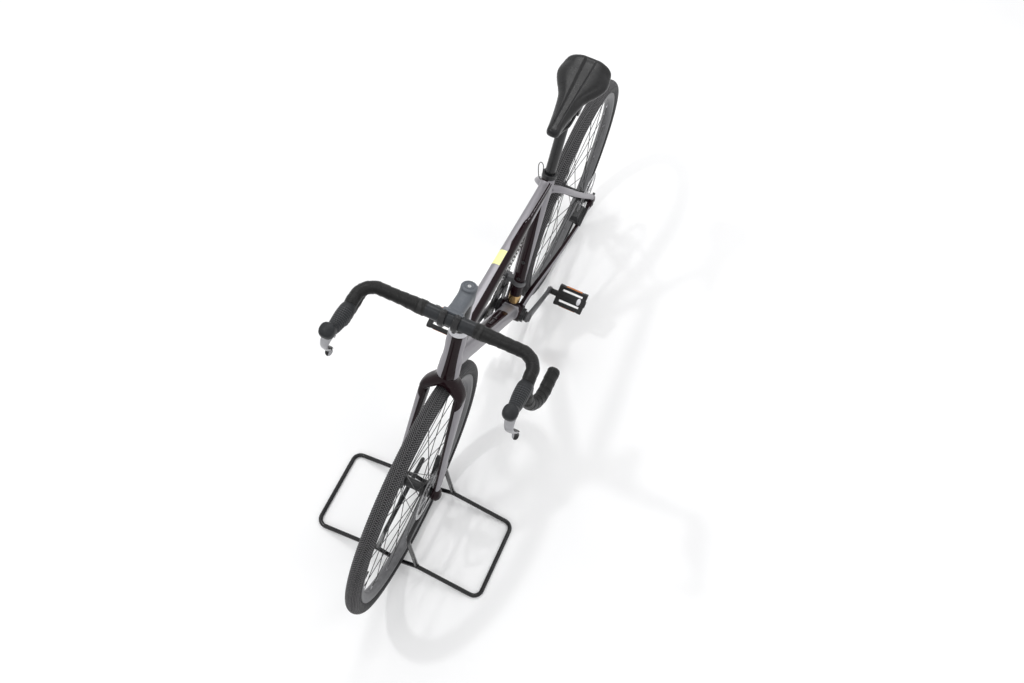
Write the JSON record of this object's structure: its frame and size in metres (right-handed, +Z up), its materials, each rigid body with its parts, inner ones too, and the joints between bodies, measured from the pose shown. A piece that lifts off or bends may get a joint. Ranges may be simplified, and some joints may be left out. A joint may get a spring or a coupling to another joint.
{
  "type": "gravel bicycle in a wheel stand",
  "caption": "Gravel bicycle with drop bars, disc brakes and platform pedals, its front wheel held upright by a black tubular floor stand.",
  "frame": {"origin": "on the floor, midway between the two axles, in the middle plane", "axes": "+X forward, +Y to the rider's left, +Z up"},
  "size_m": [1.743, 0.5196, 1.0266],
  "materials": {
    "stand_paint": "satin",
    "frame_paint": "glossy",
    "black_alloy": "satin",
    "silver_alloy": "polished",
    "grey_alloy": "satin",
    "bar_tape": "matt",
    "hood_rubber": "matt",
    "lever_alloy": "satin",
    "cable_sheath": "satin",
    "saddle_cover": "matt",
    "black_plastic": "satin",
    "chain_steel": "oiled",
    "tyre": "matt",
    "rim_alloy": "glossy",
    "rotor_steel": "brushed",
    "reflector": "glossy"
  },
  "bodies": {
    "fork": {"stand": "stand_paint", "fork": "frame_paint", "front_axle": "black_alloy", "headset_cover": "silver_alloy", "spacers": "black_alloy", "stem": "grey_alloy", "faceplate": "black_alloy", "handlebar": "black_alloy", "tape_left": "bar_tape", "tape_right": "bar_tape", "hood_left": "hood_rubber", "hood_right": "hood_rubber", "lever_left": "lever_alloy", "lever_right": "lever_alloy", "bar_cables": "cable_sheath", "front_caliper": "black_alloy"},
    "frame": {"head_tube": "frame_paint", "top_tube": "frame_paint", "down_tube": "frame_paint", "seat_tube": "frame_paint", "bottom_bracket": "black_alloy", "chainstays": "frame_paint", "seatstays": "frame_paint", "dropouts": "frame_paint", "rear_axle": "black_alloy", "bottle_bosses": "black_alloy", "seat_clamp": "black_alloy", "seatpost": "black_alloy", "saddle_rails": "black_alloy", "saddle": "saddle_cover", "front_derailleur": "grey_alloy", "rear_derailleur": "grey_alloy", "derailleur_pulleys": "black_plastic", "chain": "chain_steel", "rear_caliper": "black_alloy"},
    "front_wheel": {"front_tyre": "tyre", "front_rim": "rim_alloy", "front_spokes": "black_alloy", "front_hub": "black_alloy", "front_rotor": "rotor_steel"},
    "rear_wheel": {"rear_tyre": "tyre", "rear_rim": "rim_alloy", "rear_spokes": "black_alloy", "rear_hub": "black_alloy", "rear_rotor": "rotor_steel", "cassette": "chain_steel"},
    "crank": {"crank_right": "grey_alloy", "chainrings": "black_alloy", "crank_left": "grey_alloy"},
    "left_pedal": {"pedal_left": "black_plastic", "reflectors_left": "reflector"},
    "right_pedal": {"pedal_right": "black_plastic", "reflectors_right": "reflector"}
  },
  "joints": [
    {"name": "steering", "type": "hinge", "parent": "fork", "child": "frame", "pos_m": [0.47501, 0, 0.33569], "axis": [-0.319, 0, 0.9478], "range_deg": [-75, 75]},
    {"name": "front_wheel_spin", "type": "hinge", "parent": "fork", "child": "front_wheel", "pos_m": [0.5205, 0, 0.351], "axis": [0, 1, 0], "continuous": true},
    {"name": "rear_wheel_spin", "type": "hinge", "parent": "frame", "child": "rear_wheel", "pos_m": [-0.5205, 0, 0.351], "axis": [0, 1, 0], "continuous": true},
    {"name": "crank_spin", "type": "hinge", "parent": "frame", "child": "crank", "pos_m": [-0.09961, 0, 0.279], "axis": [0, 1, 0], "continuous": true},
    {"name": "left_pedal_spin", "type": "hinge", "parent": "crank", "child": "left_pedal", "pos_m": [-0.25595, 0, 0.2061], "axis": [0, 1, 0], "continuous": true},
    {"name": "right_pedal_spin", "type": "hinge", "parent": "crank", "child": "right_pedal", "pos_m": [0.05672, 0, 0.3519], "axis": [0, 1, 0], "continuous": true}
  ]
}
